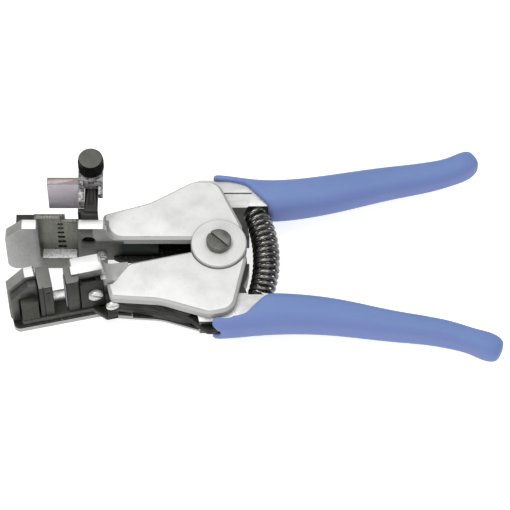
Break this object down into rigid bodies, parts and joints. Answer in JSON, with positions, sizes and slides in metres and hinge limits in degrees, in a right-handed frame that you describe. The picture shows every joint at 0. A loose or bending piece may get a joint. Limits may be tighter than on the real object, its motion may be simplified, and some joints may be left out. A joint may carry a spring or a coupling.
{
  "type": "automatic wire stripper",
  "caption": "Plier-type automatic wire stripper with gripping head, notched blade head, sprung handles and sliding length stop.",
  "frame": {"origin": "centre of the pivot nut's flat back face, on the main pivot axis", "axes": "+X from the pivot towards the handles, +Y towards the blade half, +Z along the pivot towards the slotted bolt head"},
  "size_m": [0.195, 0.0941, 0.0472],
  "materials": {
    "cast_frame": "satin bright plated casting",
    "head_steel": "satin, top edges machined bright",
    "jaw_steel": "blackened",
    "blade_steel": "hardened, ground",
    "bar_steel": "blackened",
    "lever_steel": "satin plated",
    "bright_steel": "bright",
    "pivot_steel": "dark burnished",
    "black_steel": "black oxide",
    "spring_steel": "oiled",
    "handle_vinyl": "dipped soft vinyl",
    "clear_plastic": "translucent moulding",
    "knob_black": "knurled",
    "jaw_pad": "soft lining"
  },
  "bodies": {
    "blade_frame": {"blade_plate_top": "cast_frame", "blade_plate_bottom": "cast_frame", "blade_dowels": "bright_steel", "blade_head": "head_steel", "blade_set_screw": "black_steel", "blade_head_screw": "bright_steel", "blade_fixed": "blade_steel", "pivot_bolt": "pivot_steel", "pivot_nut": "pivot_steel", "stop_bracket": "black_steel", "stop_bracket_screw": "black_steel", "spring": "spring_steel"},
    "grip_frame": {"grip_plate_top": "cast_frame", "grip_plate_bottom": "cast_frame", "grip_base_plate": "cast_frame", "grip_dowels": "bright_steel", "grip_head": "head_steel", "grip_fixed_jaw": "jaw_steel", "grip_clamp_block": "jaw_steel", "grip_clamp_screw": "bright_steel", "grip_pad": "jaw_pad"},
    "upper_handle": {"lever_upper": "lever_steel", "handle_sleeve_upper": "handle_vinyl", "draw_pin_upper": "bright_steel", "spring_post_upper": "lever_steel"},
    "lower_handle": {"lever_lower": "lever_steel", "handle_sleeve_lower": "handle_vinyl", "draw_pin_lower": "bright_steel", "spring_post_lower": "lever_steel"},
    "blade_slide": {"draw_bar_blade": "bar_steel", "blade_moving": "blade_steel", "blade_moving_screw": "black_steel"},
    "grip_slide": {"draw_bar_grip": "bar_steel", "grip_moving_jaw": "jaw_steel", "draw_bar_grip_screw": "bright_steel"},
    "length_stop": {"stop_plate": "clear_plastic", "stop_nut": "black_steel"},
    "stop_thumbscrew": {"stop_knob": "knob_black"}
  },
  "joints": [
    {"name": "head_spread", "type": "hinge", "parent": "blade_frame", "child": "grip_frame", "pos_m": [0, 0, 0.0126], "axis": [0, 0, 1], "range_deg": [-12, 8], "stiffness_Nm_per_rad": 0.8, "deforming": ["spring"]},
    {"name": "upper_handle_squeeze", "type": "hinge", "parent": "blade_frame", "child": "upper_handle", "pos_m": [0, 0, 0.0126], "axis": [0, 0, -1], "range_deg": [-8, 0], "stiffness_Nm_per_rad": 0.8, "deforming": ["spring"]},
    {"name": "blade_draw", "type": "slide", "parent": "blade_frame", "child": "blade_slide", "axis": [1, 0, 0], "range_m": [-0.0041, 0]},
    {"name": "lower_handle_squeeze", "type": "hinge", "parent": "grip_frame", "child": "lower_handle", "pos_m": [0, 0, 0.0126], "axis": [0, 0, 1], "range_deg": [0, 9.6], "stiffness_Nm_per_rad": 0.8, "deforming": ["spring"]},
    {"name": "grip_draw", "type": "slide", "parent": "grip_frame", "child": "grip_slide", "axis": [0.9763, 0.2164, 0], "range_m": [0, 0.00484]},
    {"name": "stop_slide", "type": "slide", "parent": "blade_frame", "child": "length_stop", "axis": [0, 1, 0], "range_m": [-0.0034, 0.0034]},
    {"name": "stop_knob_spin", "type": "hinge", "parent": "length_stop", "child": "stop_thumbscrew", "pos_m": [-0.05, 0.0246, 0.026], "axis": [0, 0, 1], "continuous": true}
  ],
  "couplings": [
    {"joint": "blade_draw", "follows": "upper_handle_squeeze", "m_per_rad": 0.0286},
    {"joint": "grip_draw", "follows": "lower_handle_squeeze", "m_per_rad": 0.0286}
  ]
}
